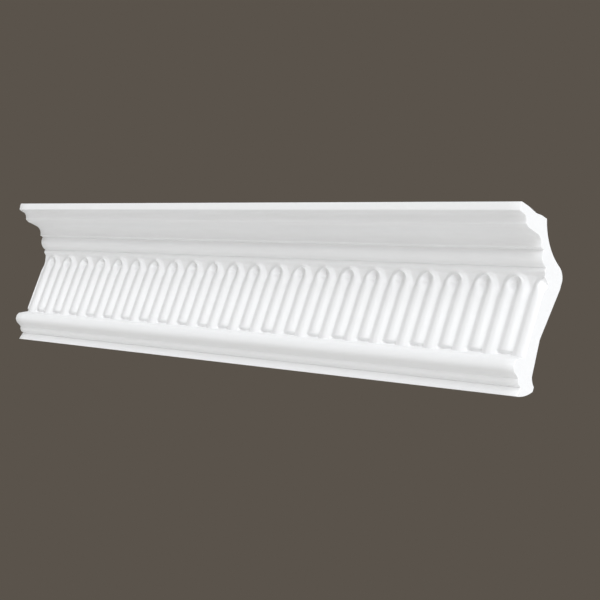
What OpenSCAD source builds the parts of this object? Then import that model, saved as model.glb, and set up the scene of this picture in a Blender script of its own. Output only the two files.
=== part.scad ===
// Fluted cornice moulding, one cut length.
// It is fixed in the corner of a room: its back meets the wall, its top meets the ceiling.
//
// Frame: +X along the length, +Y into the wall, +Z up to the ceiling. The origin is on the wall,
// in the middle of the length and of the upper wall land.
// The section is drawn as points [projection from the wall, drop below the ceiling].

/* [Overall] */
// Length of the cut piece
length = 360; // [40:1:1200]
// Drop from the ceiling to the lowest edge
drop = 72; // [54:0.5:110]
// Projection from the wall to the top fillet
projection = 37.6; // [31:0.1:46]

/* [Crown] */
// Height of the top fillet
fillet_h = 3.7; // [2:0.1:5]
// Width of the cove under the top fillet
cove_w = 5.9; // [4.5:0.1:7]
// Height of that cove
cove_h = 3.15; // [2:0.05:4]
// Height of the ogee
ogee_h = 5.05; // [4:0.05:7]
// Depth of the V quirk under the ogee
quirk_depth = 1.9; // [1:0.1:3]
// Height of the mouth of the V quirk
quirk_h = 1; // [0.5:0.1:1.5]
// Height of the rounded fascia under the quirk
fascia_h = 5.3; // [4:0.1:8]
// Projection of the top of the fascia from the wall
fascia_p = 16.6; // [15:0.1:18]
// Height of the plain band over the flutes
band_h = 2.5; // [2:0.1:5]
// Projection of the plain band from the wall
band_p = 12.4; // [11:0.1:13.5]

/* [Flutes] */
// Pitch from one arch to the next
arch_pitch = 16; // [12:0.1:24]
// Distance from the right-hand cut to the middle of the arch that it cuts
cut_offset = 1; // [0:0.1:4]
// Share of the pitch taken by the ribs, the rest is groove
rib_share = 0.92; // [0.6:0.01:0.95]
// Rise of a rib's round crest over its sides
rib_rise = 1.5; // [1:0.1:2.5]
// Projection of the rib crests from the wall, at the band
crest_top_p = 11.4; // [10:0.1:12]
// Projection of the rib crests from the wall, at the foot
crest_foot_p = 11.1; // [10:0.1:12.5]
// Distance from the plain band down to the crest of an arch
arch_head = 1.9; // [1.2:0.1:4]
// Projection of the groove floor from the wall, under the arch heads
floor_top_p = 8.8; // [7.5:0.1:9.5]
// Projection of the groove floor from the wall, at the foot
floor_foot_p = 9.5; // [8:0.1:10]
// Gap between the square end of the short leg and the foot of the groove
short_leg_gap = 1.5; // [0.3:0.1:3]

/* [Foot] */
// Height of the sloping shoulder of the torus
shoulder_h = 2.8; // [2.5:0.1:6]
// Height of the round nose of the torus
torus_h = 6; // [4:0.1:8]
// Projection of the nose of the torus from the wall
torus_p = 15.8; // [14.5:0.1:18]
// Height of the small bead with its neck
bead_h = 3.7; // [3:0.1:5]
// Height of the bottom fillet
foot_h = 4.2; // [3:0.1:6]
// Projection of the bottom fillet from the wall
foot_p = 9.2; // [8.5:0.1:11]

/* [Back] */
// Width of the land that meets the ceiling
ceiling_land = 17.8; // [14:0.1:18.5]
// Depth of the adhesive hollow in the ceiling land
glue_hollow = 0.6; // [0.2:0.1:1.5]
// Drop to the top of the upper wall land
wall_land_drop = 19.2; // [18:0.1:24]
// Height of the upper wall land
wall_land_h = 4; // [3:0.1:6]
// Depth of the hollow behind the frieze
back_hollow = 4.2; // [2:0.1:5]

/* [Hidden] */
$fn = 48;
BOW_STEPS = 8;      // straight steps along each curved member
ARCH_SIDES = 96;    // roundness of the arches

FILLET_BATTER = 0.5;     // lean of the top fillet's face
LIP_SHARE = 0.39;        // share of the cove's width taken by its flat outer lip
LIP_FALL = 0.1;          // share of the cove's height taken by that lip
COVE_HOLLOW = 1;         // hollow of the cove behind the lip
BROW_SHARE = 0.3;        // share of the ogee's width taken by its round brow
BROW_FALL = 0.19;        // share of the ogee's height taken by that brow
BROW_ROUND = 0.4;        // bulge of the brow
FLAT_SHARE = 0.61;       // share of the ogee's width taken by brow and flat soffit together
FLAT_FALL = 0.21;        // share of the ogee's height taken by the two
OGEE_COVE = 1.3;         // hollow of the ogee's lower half
OGEE_OVER = 1.9;         // how far the ogee's lower edge stands out over the fascia
QUIRK_SLOPE = 0.2;       // fall of the quirk's upper side, as a share of its mouth
FASCIA_ROUND = 1.2;      // bulge of the fascia
FASCIA_RETURN = 3.6;     // how far the fascia's underside comes back in
FASCIA_LIFT = 0.2;       // gap between the fascia's underside and the plain band
BAND_CHAMFER = 0.6;      // height of the chamfer along the top of the plain band
BAND_RECESS = 0.3;       // how far that chamfer goes in
BAND_BATTER = 0.1;       // lean of the plain band's face
STEP_P = 10.6;           // projection at the foot of the steep step under the plain band
STEP_H = 1;              // height of that step
RAMP_H = 8;              // height of step and slope together, down to the groove floor
RIB_SINK = 4.6;          // depth of a rib's straight sides below its crest
LEG_SINK = 0.8;          // share of the shoulder that the long leg runs into
NOSE_TOP_SET = 1.1;      // set-back of the top of the nose of the torus
NOSE_LOW_SET = 2.8;      // set-back of the bottom of the nose
NOSE_ROUND = 1.9;        // bulge of the nose
NECK_H = 1;              // height of the neck between torus and bead
NECK_P = 10.9;           // projection of the neck under the torus
BEAD_ROUND = 0.8;        // bulge of the small bead
FOOT_QUIRK_P = 8;        // projection of the quirk over the bottom fillet
SOLE_ROUND = 0.8;        // bulge of the underside
HEEL_LAND = 2;           // height of the lower wall land
HEEL_RISE = 5;           // drop from the lower wall land to the underside's front edge
HEEL_SCOOP_H = 3.4;      // height of the scoop above the lower wall land
HEEL_SCOOP_P = 2.9;      // depth of that scoop
HEEL_SCOOP_HOLLOW = 0.4; // hollow of that scoop
HOLLOW_TOP = 0.4;        // where the hollow is deepest, as a share of its height from the foot
SHOULDER_ROUND = 0.8;    // bulge of the shoulder over the upper wall land
SHOULDER_P = 4.2;        // projection where that shoulder ends
SHOULDER_H = 4.6;        // height of that shoulder
THROAT_HOLLOW = 2.3;     // hollow of the back between shoulder and ceiling land
CORNER = 0.6;            // chamfer at the back of the ceiling land
GLUE_FROM = 0.2;         // where the adhesive hollow starts, as a share of the ceiling land
GLUE_DEEPEST = 0.4;      // where it is deepest
GLUE_TO = 0.7;           // where it ends

// Drops of the crown's and the foot's members, each from the one above or below it
nose_drop = fillet_h + cove_h;
quirk_drop = nose_drop + ogee_h;
fascia_drop = quirk_drop + quirk_h;
band_drop = fascia_drop + fascia_h;
frieze_drop = band_drop + band_h - BAND_CHAMFER;
foot_drop = drop - foot_h;
neck_drop = foot_drop - bead_h + NECK_H;
torus_low_drop = neck_drop - NECK_H;
torus_top_drop = torus_low_drop - torus_h;
shoulder_drop = torus_top_drop - shoulder_h;
heel_drop = drop - HEEL_RISE;
wall_low_drop = wall_land_drop + wall_land_h;
origin_drop = wall_land_drop + wall_land_h / 2;
ogee_w = projection - FILLET_BATTER - cove_w - fascia_p - OGEE_OVER;

// Ribs, in the plane of their crests
crest_fall = shoulder_drop - frieze_drop;
crest_lean = atan2(crest_foot_p - crest_top_p, crest_fall);
rib_gauge = arch_pitch / 2;
rib_half_w = rib_gauge * rib_share / 2;
crest_r = (rib_half_w * rib_half_w + rib_rise * rib_rise) / (2 * rib_rise);
spring_fall = arch_head + rib_gauge / 2;
leg_len = (crest_fall - spring_fall) / cos(crest_lean);

// Circular arc that bulges by sag to the left of the way from a to b: its points after a, up to b
function bow(a, b, sag) =
    let (chord = norm(b - a),
         dir = (b - a) / chord,
         left = [-dir[1], dir[0]],
         r = (chord * chord / 4 + sag * sag) / (2 * abs(sag)),
         side = sign(sag),
         centre = (a + b) / 2 - left * side * (r - abs(sag)),
         half = asin(chord / 2 / r))
    [for (i = [1 : BOW_STEPS])
        let (turn = -half + 2 * half * i / BOW_STEPS)
        centre + r * (dir * sin(turn) + left * side * cos(turn))];

// Crown, from the ceiling down to the frieze
function crown_line() =
    let (fillet_low = [projection - FILLET_BATTER, fillet_h],
         lip = fillet_low + [-cove_w * LIP_SHARE, cove_h * LIP_FALL],
         nose = fillet_low + [-cove_w, cove_h],
         brow = nose + [-ogee_w * BROW_SHARE, ogee_h * BROW_FALL],
         flat_end = nose + [-ogee_w * FLAT_SHARE, ogee_h * FLAT_FALL],
         ogee_low = [fascia_p + OGEE_OVER, quirk_drop],
         quirk_apex = [ogee_low[0] - quirk_depth, quirk_drop + quirk_h * QUIRK_SLOPE],
         fascia_top = [fascia_p, fascia_drop],
         fascia_low = [fascia_p - FASCIA_RETURN, band_drop - FASCIA_LIFT],
         band_top = [band_p, band_drop + BAND_CHAMFER])
    concat(
        [[projection, 0], fillet_low, lip],
        bow(lip, nose, COVE_HOLLOW),
        bow(nose, brow, -BROW_ROUND),
        [flat_end],
        bow(flat_end, ogee_low, OGEE_COVE),
        [quirk_apex, fascia_top],
        bow(fascia_top, fascia_low, -FASCIA_ROUND),
        [[band_p - BAND_RECESS, band_drop], band_top]);

// Frieze floor, then the torus, bead and bottom fillet
function foot_line() =
    let (nose_top = [torus_p - NOSE_TOP_SET, torus_top_drop],
         nose_low = [torus_p - NOSE_LOW_SET, torus_low_drop],
         neck = [NECK_P, neck_drop],
         quirk = [FOOT_QUIRK_P, foot_drop])
    concat(
        [[band_p - BAND_BATTER, frieze_drop],
         [STEP_P, frieze_drop + STEP_H],
         [floor_top_p, frieze_drop + RAMP_H],
         [floor_foot_p, shoulder_drop],
         nose_top],
        bow(nose_top, nose_low, -NOSE_ROUND),
        [neck],
        bow(neck, quirk, -BEAD_ROUND));

// Underside and back, from the front of the foot up to the ceiling
function back_line() =
    let (foot_front = [foot_p, drop],
         heel_low = [0, heel_drop],
         heel_top = [0, heel_drop - HEEL_LAND],
         scoop_top = [HEEL_SCOOP_P, heel_drop - HEEL_LAND - HEEL_SCOOP_H],
         hollow_fall = scoop_top[1] - wall_low_drop,
         deepest = [back_hollow, wall_low_drop + hollow_fall * (1 - HOLLOW_TOP)],
         land_top = [0, wall_land_drop],
         shoulder = [SHOULDER_P, wall_land_drop - SHOULDER_H],
         land_back = projection - ceiling_land)
    concat(
        [foot_front],
        bow(foot_front, heel_low, -SOLE_ROUND),
        [heel_top],
        bow(heel_top, scoop_top, HEEL_SCOOP_HOLLOW),
        [deepest, [0, wall_low_drop], land_top],
        bow(land_top, shoulder, -SHOULDER_ROUND),
        bow(shoulder, [land_back - CORNER / 2, CORNER], THROAT_HOLLOW),
        [[land_back, 0],
         [land_back + ceiling_land * GLUE_FROM, 0],
         [land_back + ceiling_land * GLUE_DEEPEST, glue_hollow],
         [land_back + ceiling_land * GLUE_TO, 0]]);

// Section in the wall's frame: first axis +Y into the wall, second axis +Z up
module section() {
    outline = concat(crown_line(), foot_line(), back_line());
    polygon([for (p = outline) [-p[0], origin_drop - p[1]]]);
}

// Cross-section of one rib: round crest over straight sides that run into the body
module rib_section() {
    intersection() {
        translate([0, rib_rise - crest_r])
            circle(r = crest_r);
        translate([-rib_half_w, 0])
            square([2 * rib_half_w, rib_rise]);
    }
    translate([-rib_half_w, rib_rise - RIB_SINK])
        square([2 * rib_half_w, RIB_SINK - rib_rise]);
}

// One leg of an arch, hanging from the spring line
module leg(len) {
    rotate([90, 0, 0])
        linear_extrude(height = len)
            rib_section();
}

// One arch with a long left leg that runs into the torus and a short square-ended right leg
module arch() {
    rotate_extrude(angle = 180, $fn = ARCH_SIDES)
        translate([rib_gauge / 2, 0])
            rib_section();
    translate([-rib_gauge / 2, 0, 0])
        leg(leg_len + shoulder_h * LEG_SINK);
    translate([rib_gauge / 2, 0, 0])
        leg(leg_len - short_leg_gap);
}

// Row of arches, counted from the right-hand cut, which goes through the first one
module arches() {
    spring_p = crest_top_p + spring_fall * tan(crest_lean) - rib_rise / cos(crest_lean);
    spring_z = origin_drop - frieze_drop - spring_fall;
    for (i = [0 : ceil((length + cut_offset) / arch_pitch)])
        translate([length / 2 + cut_offset - i * arch_pitch, -spring_p, spring_z])
            rotate([90 - crest_lean, 0, 0])
                arch();
}

module cornice() {
    color([0.95, 0.95, 0.93])
        union() {
            translate([-length / 2, 0, 0])
                rotate([90, 0, 90])
                    linear_extrude(height = length)
                        section();
            intersection() {
                arches();
                translate([-length / 2, -projection, origin_drop - drop])
                    cube([length, projection, drop]);
            }
        }
}

cornice();
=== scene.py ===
# %% [markdown]
# # A cut length of cornice moulding with arched ribs
#
# The real piece is one bar of white moulded foam that closes the corner between a wall and a ceiling.
# From the ceiling down it has a top fillet, a cove, a brow, an ogee, a V quirk, a rounded fascia, a
# plain band, a frieze of arched ribs, a torus, a small bead and a bottom fillet. Both ends are sawn.
#
# The frame is the fixed part: +X runs along the length, +Y goes into the wall and +Z goes up. Sizes
# here are in millimetres, and a section point is [projection from the wall, drop below the ceiling].

# %% Load the frame
import math

import bpy
import numpy as np
from mathutils import Matrix, Vector


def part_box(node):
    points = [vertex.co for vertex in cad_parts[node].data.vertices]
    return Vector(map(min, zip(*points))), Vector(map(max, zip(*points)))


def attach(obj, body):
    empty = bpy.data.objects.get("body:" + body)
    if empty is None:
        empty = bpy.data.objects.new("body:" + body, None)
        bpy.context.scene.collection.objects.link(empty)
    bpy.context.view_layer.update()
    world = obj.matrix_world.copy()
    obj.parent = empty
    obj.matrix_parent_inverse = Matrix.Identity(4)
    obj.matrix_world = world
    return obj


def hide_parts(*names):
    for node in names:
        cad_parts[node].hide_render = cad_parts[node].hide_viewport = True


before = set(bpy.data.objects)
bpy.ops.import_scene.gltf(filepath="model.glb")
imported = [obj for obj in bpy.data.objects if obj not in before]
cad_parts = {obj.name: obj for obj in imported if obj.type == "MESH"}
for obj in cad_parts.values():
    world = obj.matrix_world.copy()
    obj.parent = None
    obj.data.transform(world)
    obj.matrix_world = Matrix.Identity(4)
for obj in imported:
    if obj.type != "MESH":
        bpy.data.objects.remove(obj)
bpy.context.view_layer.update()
low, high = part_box("cornice")

MM = 0.001
LENGTH = (high.x - low.x) / MM
PROJECTION = -low.y / MM
CEILING = high.z / MM
DROP = (high.z - low.z) / MM
print(f"cornice: {LENGTH:.1f} long, {PROJECTION:.1f} out from the wall, {DROP:.1f} down from the ceiling")

# %% [markdown]
# ## The members of the section
#
# A plasterer draws a moulding as a chain of members: flats, and hollows and rounds struck with a compass.
# The same is done here. A bezier curve could follow the outline by eye, but a chord and a rise say what
# each round member is, so every arc is worked out from those two.
#
# Each point carries a third number, its softness: how far from the point a corner starts to turn. A
# moulded piece has no knife edges, because the paint and the mould both fill them.

# %% Points and arcs of the section
ARC_STEPS = 10  # straight steps along each round member


def point(projection, drop, softness=0.0):
    """One point of the section, as a row of one."""
    return np.array([[projection, drop, softness]])


def arc(start, end, rise, softness=0.0):
    """Points after start, up to end, on the circle whose arc stands rise to the left of the chord.

    Radius = (chord^2 / 4 + rise^2) / (2 rise), centre on the chord's middle line, equal turns.
    """
    a, b = start[-1, :2], end[-1, :2]
    chord = np.hypot(*(b - a))
    along = (b - a) / chord
    left = np.array([-along[1], along[0]])
    radius = (chord**2 / 4 + rise**2) / (2 * abs(rise))
    side = math.copysign(1, rise)
    centre = (a + b) / 2 - left * side * (radius - abs(rise))
    half = math.asin(chord / 2 / radius)
    turn = np.linspace(-half, half, ARC_STEPS + 1)[1:, None]
    on_circle = centre + radius * (along * np.sin(turn) + left * side * np.cos(turn))
    soft = np.zeros((ARC_STEPS, 1))
    soft[-1] = softness
    return np.hstack([on_circle, soft])


print(f"an arc has {ARC_STEPS} steps")

# %% [markdown]
# ## The crown
#
# The crown is what stands out over the frieze: fillet, cove, brow, ogee, quirk, fascia and plain band. The
# drops are added up from the ceiling, member by member, so one member can change and the rest follow.

# %% Crown, from the ceiling down
FILLET_H, FILLET_BATTER = 3.7, 0.5  # the face of the fillet leans back by its batter
COVE_W, COVE_H, COVE_HOLLOW = 5.9, 3.15, 1.0
LIP_W, LIP_FALL = 2.3, 0.3  # flat lip along the outer edge of the cove
BROW_W, BROW_FALL, BROW_ROUND = 3.8, 0.95, 0.4
FLAT_W, FLAT_FALL = 4.0, 0.1  # flat soffit between the brow and the ogee
OGEE_H, OGEE_OVER, OGEE_COVE = 5.05, 1.9, 1.3  # its lower edge stands out over the fascia
QUIRK_H, QUIRK_DEEP, QUIRK_SLOPE = 1.0, 1.9, 0.2  # fall of its upper side, as a share of its mouth
FASCIA_P, FASCIA_H, FASCIA_ROUND = 16.6, 5.3, 1.2
FASCIA_RETURN, FASCIA_LIFT = 3.6, 0.2  # how far its underside comes back in, and stops above the band
BAND_P, BAND_H = 12.4, 2.5
CHAMFER, RECESS = 0.6, 0.3  # height of the chamfer along the top of the band, and how far it goes in
CRISP, SOFT = 0.25, 0.5  # softness of narrow and of open corners

nose_d = FILLET_H + COVE_H
quirk_d = nose_d + OGEE_H
fascia_d = quirk_d + QUIRK_H
band_d = fascia_d + FASCIA_H
frieze_d = band_d + BAND_H - CHAMFER

fillet_top = point(PROJECTION, 0, SOFT)
fillet_low = point(PROJECTION - FILLET_BATTER, FILLET_H, SOFT)
lip = point(fillet_low[0, 0] - LIP_W, FILLET_H + LIP_FALL)
nose = point(fillet_low[0, 0] - COVE_W, nose_d, SOFT)
brow = point(nose[0, 0] - BROW_W, nose_d + BROW_FALL)
flat_end = point(brow[0, 0] - FLAT_W, brow[0, 1] + FLAT_FALL)
ogee_low = point(FASCIA_P + OGEE_OVER, quirk_d, CRISP)
quirk_end = point(ogee_low[0, 0] - QUIRK_DEEP, quirk_d + QUIRK_SLOPE * QUIRK_H, CRISP)
fascia_top = point(FASCIA_P, fascia_d, CRISP)
fascia_low = point(FASCIA_P - FASCIA_RETURN, band_d - FASCIA_LIFT, CRISP)
band_back = point(BAND_P - RECESS, band_d, SOFT)
band_top = point(BAND_P, band_d + CHAMFER, CRISP)

crown = np.vstack([
    fillet_top, fillet_low, lip,
    arc(lip, nose, COVE_HOLLOW, SOFT),
    arc(nose, brow, -BROW_ROUND), flat_end,
    arc(flat_end, ogee_low, OGEE_COVE, CRISP),
    quirk_end, fascia_top,
    arc(fascia_top, fascia_low, -FASCIA_ROUND, CRISP),
    band_back, band_top,
])
print(f"crown: {len(crown)} points, down to {band_top[0, 1]:.1f}; the frieze starts at {frieze_d:.1f}")

# %% [markdown]
# ## The foot and the back
#
# Under the frieze come the torus, a bead and the bottom fillet, added up from the lowest edge. The back
# touches the wall with two lands and is hollow between them, so that it sits flat on an uneven wall. The
# top touches the ceiling with two lands and a shallow hollow between them, which holds the adhesive.

# %% Foot and back, from the torus round to the ceiling
SHOULDER_H, TORUS_H, TORUS_P = 2.8, 6.0, 15.8
NOSE_TOP_IN, NOSE_LOW_IN, NOSE_ROUND = 1.1, 2.8, 1.9  # set-back of the torus nose above and below
BEAD_H, BEAD_ROUND, NECK_H, NECK_P = 3.7, 0.8, 1.0, 10.9
FOOT_H, FOOT_P, FOOT_QUIRK_P, SOLE_ROUND = 4.2, 9.2, 8.0, 0.8
CEILING_LAND, CORNER = 17.8, 0.6  # width, and the chamfer at its back
GLUE_HOLLOW = 0.6  # depth of the adhesive hollow in that land
GLUE_FROM, GLUE_DEEPEST, GLUE_TO = 0.2, 0.4, 0.7  # where it starts, is deepest and ends, as shares of it
WALL_LAND_D, WALL_LAND_H = 19.2, 4.0  # drop to the upper wall land, and its height
BACK_HOLLOW = 4.2  # depth of the hollow under that land
DEEPEST = 0.6  # where it is deepest, as a share of the way down to the scoop over the heel
HEEL_RISE, HEEL_LAND = 5.0, 2.0  # rise to the lower wall land, and its height
SCOOP_P, SCOOP_H, SCOOP_HOLLOW = 2.9, 3.4, 0.4  # scoop over the heel
BULGE_P, BULGE_H, BULGE_ROUND, THROAT_HOLLOW = 4.2, 4.6, 0.8, 2.3  # back of the crown, from that land up

foot_d = DROP - FOOT_H
neck_d = foot_d - BEAD_H + NECK_H
torus_low_d = neck_d - NECK_H
torus_top_d = torus_low_d - TORUS_H
shoulder_d = torus_top_d - SHOULDER_H
heel_d = DROP - HEEL_RISE

nose_top = point(TORUS_P - NOSE_TOP_IN, torus_top_d, SOFT)
nose_low = point(TORUS_P - NOSE_LOW_IN, torus_low_d, CRISP)
neck = point(NECK_P, neck_d, SOFT)
foot_quirk = point(FOOT_QUIRK_P, foot_d, CRISP)
foot_front = point(FOOT_P, DROP, SOFT)
foot = np.vstack([
    nose_top,
    arc(nose_top, nose_low, -NOSE_ROUND, CRISP), neck,
    arc(neck, foot_quirk, -BEAD_ROUND, CRISP), foot_front,
])

heel_low, heel_top = point(0, heel_d, CRISP), point(0, heel_d - HEEL_LAND, CRISP)
scoop_top = point(SCOOP_P, heel_d - (HEEL_LAND + SCOOP_H), SOFT)
wall_low_d = WALL_LAND_D + WALL_LAND_H
deepest = point(BACK_HOLLOW, wall_low_d + DEEPEST * (scoop_top[0, 1] - wall_low_d), SOFT)
land_low, land_top = point(0, wall_low_d, SOFT), point(0, WALL_LAND_D, CRISP)
bulge_top = point(BULGE_P, WALL_LAND_D - BULGE_H, SOFT)
land_back = PROJECTION - CEILING_LAND
ceiling_back = point(land_back - CORNER / 2, CORNER, CRISP)
back = np.vstack([
    arc(foot_front, heel_low, -SOLE_ROUND, CRISP), heel_top,
    arc(heel_top, scoop_top, SCOOP_HOLLOW, SOFT),
    deepest, land_low, land_top,
    arc(land_top, bulge_top, -BULGE_ROUND, SOFT),
    arc(bulge_top, ceiling_back, THROAT_HOLLOW, CRISP),
    point(land_back, 0, CRISP),
    point(land_back + GLUE_FROM * CEILING_LAND, 0, CRISP),
    point(land_back + GLUE_DEEPEST * CEILING_LAND, GLUE_HOLLOW, SOFT),
    point(land_back + GLUE_TO * CEILING_LAND, 0, CRISP),
])
print(f"foot: {len(foot)} points, back: {len(back)} points, torus nose at {torus_top_d:.1f}")

# %% [markdown]
# ## Softened corners
#
# A Bevel modifier could round the corners, but it would also cut into the ribs. It is simpler to round
# the outline before it becomes a surface. Each corner is replaced by a short parabola.

# %% Round every corner of an open outline
CORNER_STEPS = 4  # straight steps along a rounded corner
MOST_OF_EDGE = 0.45  # the most of an edge that one corner takes
ONE_POINT = 1e-6  # points nearer than this are one


def soften(line):
    """The line with each corner turned into the curve (1-s)^2 a + 2s(1-s) corner + s^2 b.

    a and b lie on the two neighbouring edges, softness from the corner, or nearly half an edge if that
    is less. Points with no softness stay single.
    """
    place, soft = line[:, :2], line[:, 2].copy()
    soft[[0, -1]] = 0
    to_last = np.roll(place, 1, axis=0) - place
    to_next = np.roll(place, -1, axis=0) - place
    last_len = np.hypot(*to_last.T)
    next_len = np.hypot(*to_next.T)
    cut = np.minimum(soft, MOST_OF_EDGE * np.minimum(last_len, next_len))
    a = place + to_last * (cut / last_len)[:, None]
    b = place + to_next * (cut / next_len)[:, None]
    s = np.linspace(0, 1, CORNER_STEPS + 1)[None, :, None]
    curve = (1 - s) ** 2 * a[:, None] + 2 * s * (1 - s) * place[:, None] + s**2 * b[:, None]
    curve = curve.reshape(-1, 2)
    moved = np.hypot(*np.diff(curve, axis=0).T) > ONE_POINT
    return curve[np.concatenate([[True], moved])]


print(f"a rounded corner has {CORNER_STEPS} steps")

# %% [markdown]
# ## The frieze: a row of arched ribs
#
# Each rib is a low reed bent over at the top, and the reeds fill the frieze side by side. The left leg of
# each runs down into the torus, and the right leg is cut off square just above it. Bent rods joined to the
# frieze by a Boolean would meet it in sharp edges. A mould has none, so the frieze is a height field
# instead: the projection from the wall is a function of where a point lies along the length and down from
# the ceiling. The higher of floor and rib wins, and where they meet they melt together.
#
# The arch heads are sharper than the legs and lean out towards the plain band, so they catch the light
# along their tops. A round hollow under each head, left of its middle, makes it read as a hook.

# %% Floor and crest lines of the frieze
PITCH = 16.0
GAUGE = PITCH / 2  # between the middle lines of a rib's two legs
CUT_OFFSET = 1.0  # how far past the right-hand cut the middle of the arch that it cuts would lie
HEAD_OUT = 0.6  # the crest of an arch head swings out by this much at the top
ARCH_HEAD = 1.8  # from the plain band down to the crest of an arch
HEAD_H = 8.0  # height over which the arch heads lean out towards the plain band
CREST_HEAD_P = 12.9  # crest at the top of that lean
CREST_TOP_P, CREST_FOOT_P = 10.7, 11.1  # crest at the foot of the lean and at the torus
BAND_LOW_P, STEP_P, STEP_H = 12.3, 10.6, 1.0  # short steep step under the plain band
FLOOR_TOP_P, RAMP_H = 8.8, 8.0  # top of the groove floor, and the height of step and slope down to it
FLOOR_FOOT_P = 9.5  # groove floor at the torus
FLOOR_REACH, FLOOR_FADE, FLOOR_LINES = 0.6, 0.75, 9  # moved floor lines, whose mean has round corners
EYE_DEPTH, EYE_H = 3.6, 15.0  # the valley inside an arch is deepest under its head
SHORT_LEG_GAP = 1.5  # from the end of a short leg to the torus

spring_d = frieze_d + ARCH_HEAD + HEAD_OUT + GAUGE / 2
floor_d = [band_top[0, 1], frieze_d, frieze_d + STEP_H, frieze_d + RAMP_H, shoulder_d, torus_top_d]
floor_p = [BAND_P, BAND_LOW_P, STEP_P, FLOOR_TOP_P, FLOOR_FOOT_P, nose_top[0, 0]]


def floor_line(drop):
    """Projection of the frieze without ribs: the mean of floor lines moved up to FLOOR_REACH each way.

    The weight of a line moved up or down by shift is 1 - shift / FLOOR_FADE.
    """
    shift = np.linspace(-FLOOR_REACH, FLOOR_REACH, FLOOR_LINES)
    weight = 1 - np.abs(shift) / FLOOR_FADE
    lines = np.interp(drop[..., None] + shift, floor_d, floor_p)
    return lines @ (weight / weight.sum())


def crest_line(drop):
    """Projection of the rib crests: a straight line to the torus, plus lean (1 - s)^2 over the heads.

    s goes from 0 at the plain band to 1 at HEAD_H under it.
    """
    straight = np.interp(drop, [frieze_d + HEAD_H, shoulder_d], [CREST_TOP_P, CREST_FOOT_P])
    s = np.clip((drop - frieze_d) / HEAD_H, 0, 1)
    return straight + (CREST_HEAD_P - CREST_TOP_P) * (1 - s) ** 2


def valley_depth(drop):
    """Depth of the valley between two legs: crest to groove floor, or the eye's depth if that is more.

    The eye's depth is EYE_DEPTH (1 - s)^2, where s goes from 0 at the spring line to 1 at EYE_H under it.
    """
    legs = crest_line(drop) - np.interp(drop, floor_d[3:5], floor_p[3:5])
    eye = EYE_DEPTH * (1 - np.clip((drop - spring_d) / EYE_H, 0, 1)) ** 2
    return np.maximum(legs, eye)


print(f"arches spring at {spring_d:.2f}, ribs stand on a pitch of {PITCH:.0f}")

# %% Ribs and the whole relief
VALLEY = 1.3  # how far from the line between two reeds their valley is rounded
MELT = 0.4  # surfaces less than this apart in height melt together
END_SLOPE = 1.4  # steepness of the square end of a short leg
OUTER_FALL, OUTER_W = 0.9, 1.0  # extra fall of an arch head on its outer side, and the width it takes
INNER_FALL, INNER_W = 1.2, 1.6  # the same on its inner side
HOLLOW_DEEP, HOLLOW_R = 2.2, 1.8  # round hollow under an arch head
HOLLOW_LEFT, HOLLOW_UP = 1.5, 2.0  # its place, from the middle of the arch on its spring line


def melted_max(a, b, melt):
    """The larger of a and b, plus melt h^2 / 4: h is 1 where they are equal and 0 from melt apart."""
    h = np.clip(1 - np.abs(a - b) / melt, 0, 1)
    return np.maximum(a, b) + melt * h * h / 4


def rib_fall(t, depth):
    """Fall below the crest at distance t from the middle line: depth (t / half gauge)^2.

    Two reeds meet in a V, so the distance e left to it becomes sqrt(e^2 + VALLEY^2), which rounds it.
    """
    to_valley = np.hypot(np.maximum(GAUGE / 2 - t, 0), VALLEY)
    return depth * (1 - to_valley / (GAUGE / 2)) ** 2


def shoulder_fall(distance, fall, width):
    """Fall on one side of a crest: fall (1 - (1 - s)^2), where s goes from 0 on it to 1 at width."""
    s = np.clip(distance / width, 0, 1)
    return fall * (1 - (1 - s) ** 2)


def relief(x, drop):
    """Projection of the frieze at x along the length and drop below the ceiling.

    It is the higher of floor and reed, or the reed alone inside an arch, where the reed is
    crest - fall - w ridge - hollow - cut.
    u is the place across the arch, and v the height above its spring line, or 0 below it.
    w = h^2 (3 - 2h) grows from 0 on the spring line to 1 at the top of the head: h is v over its height.
    The distance out from the crest is sqrt(u^2 + v^2) - half the gauge - HEAD_OUT w.
    The hollow is HOLLOW_DEEP e^(-r^2 / HOLLOW_R^2), where r is the distance from its middle.
    """
    first = LENGTH / 2 + CUT_OFFSET
    u = (x - first + PITCH / 2) % PITCH - PITCH / 2
    above = spring_d - drop
    v = np.maximum(above, 0)
    h = v / (GAUGE / 2 + HEAD_OUT)
    w = h**2 * (3 - 2 * h)
    outward = np.hypot(u, v) - GAUGE / 2 - HEAD_OUT * w
    fall = rib_fall(np.abs(outward), valley_depth(drop))
    ridge = shoulder_fall(outward, OUTER_FALL, OUTER_W) + shoulder_fall(-outward, INNER_FALL, INNER_W)
    r_squared = (u + HOLLOW_LEFT) ** 2 + (above - HOLLOW_UP) ** 2
    hollow = HOLLOW_DEEP * np.exp(-r_squared / HOLLOW_R**2)
    past_end = (drop - (shoulder_d - SHORT_LEG_GAP)) * END_SLOPE
    cut = np.where(u > 0, melted_max(past_end, 0, MELT), 0)
    reed = crest_line(drop) - fall - w * ridge - hollow - cut
    in_eye = (np.hypot(u, v) < GAUGE / 2) & (drop < spring_d + EYE_H)
    return np.where(in_eye, reed, melted_max(floor_line(drop), reed, MELT))


print(f"about {LENGTH / PITCH:.1f} arches, whose short legs end {SHORT_LEG_GAP} above the torus")

# %% [markdown]
# ## One closed skin
#
# The ribs need a point every third of a millimetre or so, but the straight members don't change along
# the length, so a fine grid everywhere would waste most of its faces. The skin has two grids: a fine one
# for the frieze and a coarse one for the rest of the way round. They meet on straight lines, where one
# wide flat face borders many fine ones. At each end the last rows turn in on a small radius, as sandpaper
# leaves a sawn edge, and one flat face closes the cut.

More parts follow.
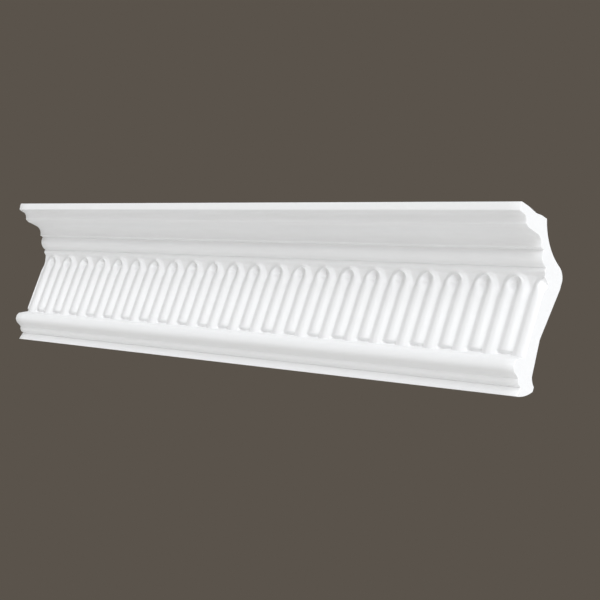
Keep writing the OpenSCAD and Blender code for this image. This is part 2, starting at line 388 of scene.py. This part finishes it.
# %% Rows round the section and columns along the length
FINE_TOP, FINE_LOW = frieze_d - 0.7, torus_top_d - 0.5  # drops between which the grid is fine
HEAD_STEP, LEG_STEP, END_STEP = 0.25, 1.5, 0.18  # between rows on the heads, the legs and the leg ends
HEADS_STOP, LEGS_START = spring_d + 1, spring_d + 1.5  # drops where one spacing gives way to the next
LEGS_STOP, ENDS_START = shoulder_d - 2, shoulder_d - 1.6
STRIP_TOP, STRIP_LOW = FINE_TOP - 0.2, FINE_LOW + 0.1  # drops where the coarse outline stops and starts
COARSE_CELLS, FINE_PER_COARSE = 60, 15
EDGE_R = 0.15  # radius along the sawn edges
EDGE_TURNS = np.radians([90.0, 45.0])  # where the drawn-in rings lie on that radius

fine_rows = np.concatenate([
    np.arange(FINE_TOP, HEADS_STOP, HEAD_STEP),
    np.arange(LEGS_START, LEGS_STOP, LEG_STEP),
    np.arange(ENDS_START, FINE_LOW, END_STEP),
    [FINE_LOW],
])
low_share = (FINE_LOW - shoulder_d) / SHOULDER_H
lead_in = point(FLOOR_FOOT_P + low_share * (nose_top[0, 0] - FLOOR_FOOT_P), STRIP_LOW)
band_share = (STRIP_TOP - band_top[0, 1]) / (frieze_d - band_top[0, 1])
band_stop = point(BAND_P + band_share * (BAND_LOW_P - BAND_P), STRIP_TOP)
outline = soften(np.vstack([lead_in, foot, back, crown, band_stop]))[1:]


def columns(cells):
    """Places along the length, and how far each ring is drawn in: r (1 - cos) at end - r (1 - sin)."""
    ends = LENGTH / 2 - EDGE_R * (1 - np.sin(EDGE_TURNS))
    middle = np.linspace(-LENGTH / 2 + EDGE_R, LENGTH / 2 - EDGE_R, cells + 1)
    drawn = EDGE_R * (1 - np.cos(EDGE_TURNS))
    x = np.concatenate([-ends, middle, ends[::-1]])
    return x, np.concatenate([drawn, np.zeros(cells + 1), drawn[::-1]])


fine_x, fine_in = columns(COARSE_CELLS * FINE_PER_COARSE)
coarse_x = columns(COARSE_CELLS)[0]
print(f"fine grid {len(fine_rows)} x {len(fine_x)}, coarse grid {len(outline)} x {len(coarse_x)}")

# %% Places of all points
along_x, down = np.meshgrid(fine_x, fine_rows)
fine = np.stack([relief(along_x, down), down], axis=-1)
coarse = np.repeat(outline[:, None], len(coarse_x), axis=1)


def draw_in(ring, amount):
    """The closed ring moved inwards by amount along its normals, taken from the points each side."""
    step = np.roll(ring, -1, axis=0) - np.roll(ring, 1, axis=0)
    step /= np.hypot(*step.T)[:, None]
    return ring - amount * np.stack([step[:, 1], -step[:, 0]], axis=1)


for column in (0, 1, -2, -1):
    ring = np.vstack([fine[:, column], coarse[:, column]])
    ring = draw_in(ring, fine_in[column])
    fine[:, column], coarse[:, column] = np.split(ring, [len(fine_rows)])


def in_frame(grid, x):
    """[projection, drop] points at x as metres in the frame: y = -projection, z = ceiling - drop."""
    place = np.stack([np.broadcast_to(x, grid.shape[:2]), -grid[..., 0], CEILING - grid[..., 1]], axis=-1)
    return place.reshape(-1, 3) * MM


places = np.vstack([in_frame(fine, fine_x), in_frame(coarse, coarse_x)])
print(f"{len(places)} points, the fine grid lies {fine[..., 0].min():.2f} to {fine[..., 0].max():.2f} out")

# %% Faces of the two grids, the strips between them and the two cuts
EDGE_RINGS = len(EDGE_TURNS)  # rings drawn in at each end
fine_at = np.arange(fine[..., 0].size).reshape(fine.shape[:2])
coarse_at = fine_at.size + np.arange(coarse[..., 0].size).reshape(coarse.shape[:2])


def quads(upper, lower):
    """One face for each step along two neighbouring rows: down, along, up."""
    corners = [upper[..., :-1], lower[..., :-1], lower[..., 1:], upper[..., 1:]]
    return np.stack(corners, axis=-1).reshape(-1, 4)


def strip(fine_row, coarse_row, fine_is_above):
    """Faces between a fine and a coarse row: one for each coarse step, with all its fine points."""
    inner = slice(EDGE_RINGS, -EDGE_RINGS)
    starts = np.arange(COARSE_CELLS)[:, None] * FINE_PER_COARSE
    many = fine_row[inner][starts + np.arange(FINE_PER_COARSE + 1)]
    two = np.stack([coarse_row[inner][:-1], coarse_row[inner][1:]], axis=1)
    if fine_is_above:
        return np.hstack([two, many[:, ::-1]])
    return np.hstack([two[:, :1], many, two[:, 1:]])


def edge_quads(upper, lower):
    """The faces of a strip at both ends, where the rows have the same columns."""
    near, far = slice(None, EDGE_RINGS + 1), slice(-EDGE_RINGS - 1, None)
    return np.vstack([quads(upper[near], lower[near]), quads(upper[far], lower[far])])


ring_at = np.vstack([fine_at[:, [0, -1]], coarse_at[:, [0, -1]]])
groups = [
    quads(fine_at[:-1], fine_at[1:]),
    quads(coarse_at[:-1], coarse_at[1:]),
    strip(fine_at[-1], coarse_at[0], fine_is_above=True),
    strip(fine_at[0], coarse_at[-1], fine_is_above=False),
    edge_quads(fine_at[-1], coarse_at[0]),
    edge_quads(coarse_at[-1], fine_at[0]),
    ring_at[::-1, 0][None],
    ring_at[:, 1][None],
]
print("faces:", [len(g) for g in groups])

# %% The mesh
corners = np.concatenate([g.ravel() for g in groups])
sizes = np.concatenate([np.full(len(g), g.shape[1]) for g in groups])
skin = bpy.data.meshes.new("moulded_cornice")
skin.vertices.add(len(places))
skin.vertices.foreach_set("co", places.astype(np.float32).ravel())
skin.loops.add(len(corners))
skin.loops.foreach_set("vertex_index", corners.astype(np.int32))
skin.polygons.add(len(sizes))
skin.polygons.foreach_set("loop_start", (np.cumsum(sizes) - sizes).astype(np.int32))
is_cut = np.arange(len(sizes)) >= len(sizes) - 2  # the last two faces close the sawn ends
skin.polygons.foreach_set("use_smooth", ~is_cut)
skin.polygons.foreach_set("material_index", is_cut.astype(np.int32))
skin.update(calc_edges=True)
repaired = skin.validate()
cornice = bpy.data.objects.new("moulded_cornice", skin)
bpy.context.scene.collection.objects.link(cornice)
triangles = int((sizes - 2).sum())
print(f"moulded_cornice: {triangles} triangles, repaired by validate: {repaired}")

# %% [markdown]
# ## Shader maths as plain expressions
#
# A procedural finish is a small sum of patterns. Written with one node call for each plus sign it is
# hard to read, so a pattern's output is wrapped in a class that turns + - * into Math nodes. Every other
# node comes from one method, which sets the node's settings first and then its sockets.


# %% Wrapped sockets and finishes
class Pattern:
    """A shader value: its operators add Math nodes."""

    def __init__(self, finish, socket):
        self.finish, self.socket = finish, socket

    def maths(self, operation, first, second):
        """One Math node on two values, each of them a Pattern or a number."""
        settings = {"operation": operation}
        return self.finish.node("ShaderNodeMath", settings, {0: first, 1: second})

    def __add__(self, other):
        return self.maths("ADD", self, other)

    def __sub__(self, other):
        return self.maths("SUBTRACT", self, other)

    def __rsub__(self, other):
        return self.maths("SUBTRACT", other, self)

    def __mul__(self, other):
        return self.maths("MULTIPLY", self, other)

    __radd__ = __add__
    __rmul__ = __mul__


class Finish:
    """A material, and the one method that adds its nodes."""

    def __init__(self, name):
        self.material = bpy.data.materials.new(name)
        self.material.use_nodes = True
        self.material.node_tree.nodes.clear()

    def node(self, kind, settings, sockets, out=0):
        """A node of that kind: settings first, then each socket's value or link. Returns one output."""
        node = self.material.node_tree.nodes.new(kind)
        for name, value in settings.items():
            setattr(node, name, value)
        for key, value in sockets.items():
            if isinstance(value, Pattern):
                self.material.node_tree.links.new(value.socket, node.inputs[key])
            else:
                node.inputs[key].default_value = value
        return Pattern(self, node.outputs[out] if len(node.outputs) else None)


print("Pattern and Finish are ready")

# %% [markdown]
# ## The white finish
#
# The moulding leaves the mould with a skin of its own and gets a thin coat of matte white primer. Such a
# coat is never quite even: it has a fine grain, a slight orange peel, faint lines along the length, and
# it lies a shade thicker in some places. An image of a wall would repeat and needs a file. Noise at four
# scales on the piece's own coordinates does the same without a seam.

# %% Primed skin
PRIMER_WHITE = (0.82, 0.82, 0.82, 1)
PRIMER_THIN = (0.79, 0.79, 0.79, 1)
PRIMER_ROUGH, PRIMER_BUMP = 0.5, 0.03
CLOUDS, PEEL, GRAIN, DRAW_LINES = 28, 520, 2400, 900  # bumps to a metre in the four patterns
LINE_STRETCH = (0.03, 1, 1)  # a small share of X draws a pattern out into lines along the length
IOR = 1.45  # of paint and of foam alike


def noise(finish, at, per_metre, detail=2.0):
    """Smooth noise from 0 to 1 with about per_metre bumps to a metre."""
    sockets = {"Vector": at, "Scale": per_metre, "Detail": detail, "Roughness": 0.5}
    return finish.node("ShaderNodeTexNoise", {}, sockets)


def mixed(finish, share, first, second):
    """A colour that goes from first to second as share goes from 0 to 1."""
    return finish.node("ShaderNodeMix", {"data_type": "RGBA"}, {0: share, 6: first, 7: second}, out=2)


def surface(finish, colour, roughness, height, bump_mm):
    """Ends a finish: colour, roughness, and a bump of that height in millimetres."""
    bump_sockets = {"Strength": 1.0, "Distance": bump_mm * MM, "Height": height}
    bump = finish.node("ShaderNodeBump", {}, bump_sockets)
    sockets = {"Base Color": colour, "Roughness": roughness, "Normal": bump, "IOR": IOR}
    shader = finish.node("ShaderNodeBsdfPrincipled", {}, sockets)
    finish.node("ShaderNodeOutputMaterial", {}, {"Surface": shader})
    return finish.material


primer = Finish("primed_skin")
where = primer.node("ShaderNodeTexCoord", {}, {}, out=3)
stretched = primer.node("ShaderNodeMapping", {}, {"Vector": where, "Scale": LINE_STRETCH})
cloud = noise(primer, where, CLOUDS, 3)
peel = noise(primer, where, PEEL)
grain = noise(primer, where, GRAIN)
draw_lines = noise(primer, stretched, DRAW_LINES)
primed_skin = surface(
    primer,
    mixed(primer, cloud * 0.6 + draw_lines * 0.25 + grain * 0.15, PRIMER_WHITE, PRIMER_THIN),
    PRIMER_ROUGH + 0.12 * cloud + 0.08 * grain,
    peel * 0.5 + grain * 0.3 + draw_lines * 0.2,
    PRIMER_BUMP,
)
print("primed_skin:", len(primed_skin.node_tree.nodes), "nodes")

# %% [markdown]
# ## The sawn ends
#
# The saw opens the foam, so the ends have no skin: they show the cells as tiny pits, and are duller than
# the face. Real pits would need millions of faces. Voronoi cells in the bump do it at this scale, and
# painted shade darkens the colour in each pit.

# %% Cut foam
FOAM_WHITE = (0.79, 0.79, 0.79, 1)
# the second colour is painted shade, laid into the cell pits where shade would fall
FOAM_PIT_SHADE = (0.69, 0.69, 0.69, 1)
FOAM_ROUGH, PIT_DEPTH = 0.75, 0.05
FOAM_CELLS, BLOTCHES = 1500.0, 60  # to a metre

foam = Finish("cut_foam")
where = foam.node("ShaderNodeTexCoord", {}, {}, out=3)
cells = foam.node("ShaderNodeTexVoronoi", {"feature": "SMOOTH_F1"}, {"Vector": where, "Scale": FOAM_CELLS})
pit_depth_and_shade = 1 - cells
blotch = noise(foam, where, BLOTCHES, 3)
cut_foam = surface(
    foam,
    # painted shade: the colour darkens into the bottom of each pit; the blotches are random tone
    mixed(foam, pit_depth_and_shade * 0.25 + blotch * 0.2, FOAM_WHITE, FOAM_PIT_SHADE),
    FOAM_ROUGH + 0.15 * blotch,
    blotch * 0.3 - pit_depth_and_shade * 0.7,
    PIT_DEPTH,
)
skin.materials.append(primed_skin)
skin.materials.append(cut_foam)
print("cut_foam:", len(cut_foam.node_tree.nodes), "nodes")

# %% [markdown]
# ## Floor and backdrop
#
# The piece hangs where it would be fixed, so the floor lies well below it. A large pale plane is enough.
# The world is one plain colour, which is all the backdrop there is.

# %% Floor and world
FLOOR_Z, FLOOR_HALF = -0.45, 2.5  # in metres
FLOOR_PALE, FLOOR_DULL = (0.74, 0.73, 0.71, 1), (0.70, 0.69, 0.67, 1)
FLOOR_ROUGH, FLOOR_BUMP, FLOOR_CLOUDS = 0.7, 0.2, 3
BACKDROP = (0.1022, 0.0865, 0.0704, 1)

floor_mesh = bpy.data.meshes.new("floor")
floor_x = np.array([-1, 1, 1, -1]) * FLOOR_HALF
floor_y = np.array([-1, -1, 1, 1]) * FLOOR_HALF
floor_corners = np.stack([floor_x, floor_y, np.full(4, FLOOR_Z)], axis=1)
floor_mesh.from_pydata(floor_corners.tolist(), [], [(0, 1, 2, 3)])
floor = bpy.data.objects.new("floor", floor_mesh)
floor.visible_shadow = False  # the low fill light comes up through it
bpy.context.scene.collection.objects.link(floor)
pale = Finish("pale_floor")
where = pale.node("ShaderNodeTexCoord", {}, {}, out=3)
floor_cloud = noise(pale, where, FLOOR_CLOUDS, 4)
floor_mesh.materials.append(surface(
    pale,
    mixed(pale, floor_cloud, FLOOR_PALE, FLOOR_DULL),
    FLOOR_ROUGH + 0.1 * floor_cloud,
    floor_cloud,
    FLOOR_BUMP,
))

world = bpy.data.worlds.new("backdrop")
world.use_nodes = True
world.node_tree.nodes["Background"].inputs["Color"].default_value = BACKDROP
bpy.context.scene.world = world
print(f"floor {2 * FLOOR_HALF:.0f} m wide at z = {FLOOR_Z} m")

# %% [markdown]
# ## Soft light
#
# White relief is read by its shading alone. A key light and a side light from the right make the reeds
# round and keep the sawn end bright. Light from the front and from above lifts the crown and the torus.
# Soft light from below keeps the soffits clear, and one more lamp behind keeps the back readable.
#
# Area lamps would fade along the length and show in side views. A sun lamp with a wide angle is a soft
# box that is very far away: even light, soft shadows and nothing to see.

# %% Lamps
COOL_WHITE = (0.975, 1.0, 1.03)  # against the warm light of floor and backdrop


def soft_sun(name, bearing, height, strength, width=50):
    """A sun as soft as a soft box width degrees wide.

    It comes from bearing degrees to the right of straight in front, and height degrees above level.
    """
    lamp = bpy.data.lights.new(name, "SUN")
    lamp.color = COOL_WHITE
    lamp.energy = strength
    lamp.angle = math.radians(width)
    sun = bpy.data.objects.new(name, lamp)
    sun.rotation_euler = (math.radians(90 - height), 0, math.radians(bearing))
    bpy.context.scene.collection.objects.link(sun)


soft_sun("key", 50, 30, 1.00)
soft_sun("front", 10, 30, 1.32)
soft_sun("high", 10, 60, 0.66)
soft_sun("side", 90, 0, 1.74)
soft_sun("low", 50, -30, 0.92)
soft_sun("back", 180, 20, 0.5, 60)

# %% [markdown]
# ## Camera
#
# The camera stands to the right of the piece, a little below it, and looks along its face, with a long
# lens that keeps the members nearly parallel. Its place is measured from the piece's own top right corner.

# %% Camera
ROLL_BACK, TURN, LOOK_DOWN = 23.2, 46.7, 3.54  # degrees
CORNER_RIGHT, CORNER_UP, CORNER_AHEAD = 87.33, 38.60, 583.5  # the corner, as the camera sees it
CORNER_LOW = 0.43  # how far below the ceiling that corner is taken
FOCAL_LENGTH, SENSOR_W = 88.8, 36

lens = bpy.data.cameras.new("camera")
lens.lens, lens.sensor_width = FOCAL_LENGTH, SENSOR_W
camera = bpy.data.objects.new("camera", lens)
turned = (
    Matrix.Rotation(math.radians(ROLL_BACK), 4, "X")
    @ Matrix.Rotation(math.radians(TURN), 4, "Z")
    @ Matrix.Rotation(math.radians(90 - LOOK_DOWN), 4, "X")
)
corner = Vector((LENGTH / 2, -PROJECTION, CEILING - CORNER_LOW))
seen_at = turned.to_3x3() @ Vector((CORNER_RIGHT, CORNER_UP, -CORNER_AHEAD))
camera.matrix_world = Matrix.Translation((corner - seen_at) * MM) @ turned
bpy.context.scene.collection.objects.link(camera)
bpy.context.scene.camera = camera
bpy.context.scene.view_settings.view_transform = "Standard"
print("camera at", [round(v, 3) for v in camera.matrix_world.translation])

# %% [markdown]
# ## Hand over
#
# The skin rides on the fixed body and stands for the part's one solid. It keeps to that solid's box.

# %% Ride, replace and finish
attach(cornice, "root")
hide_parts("cornice")
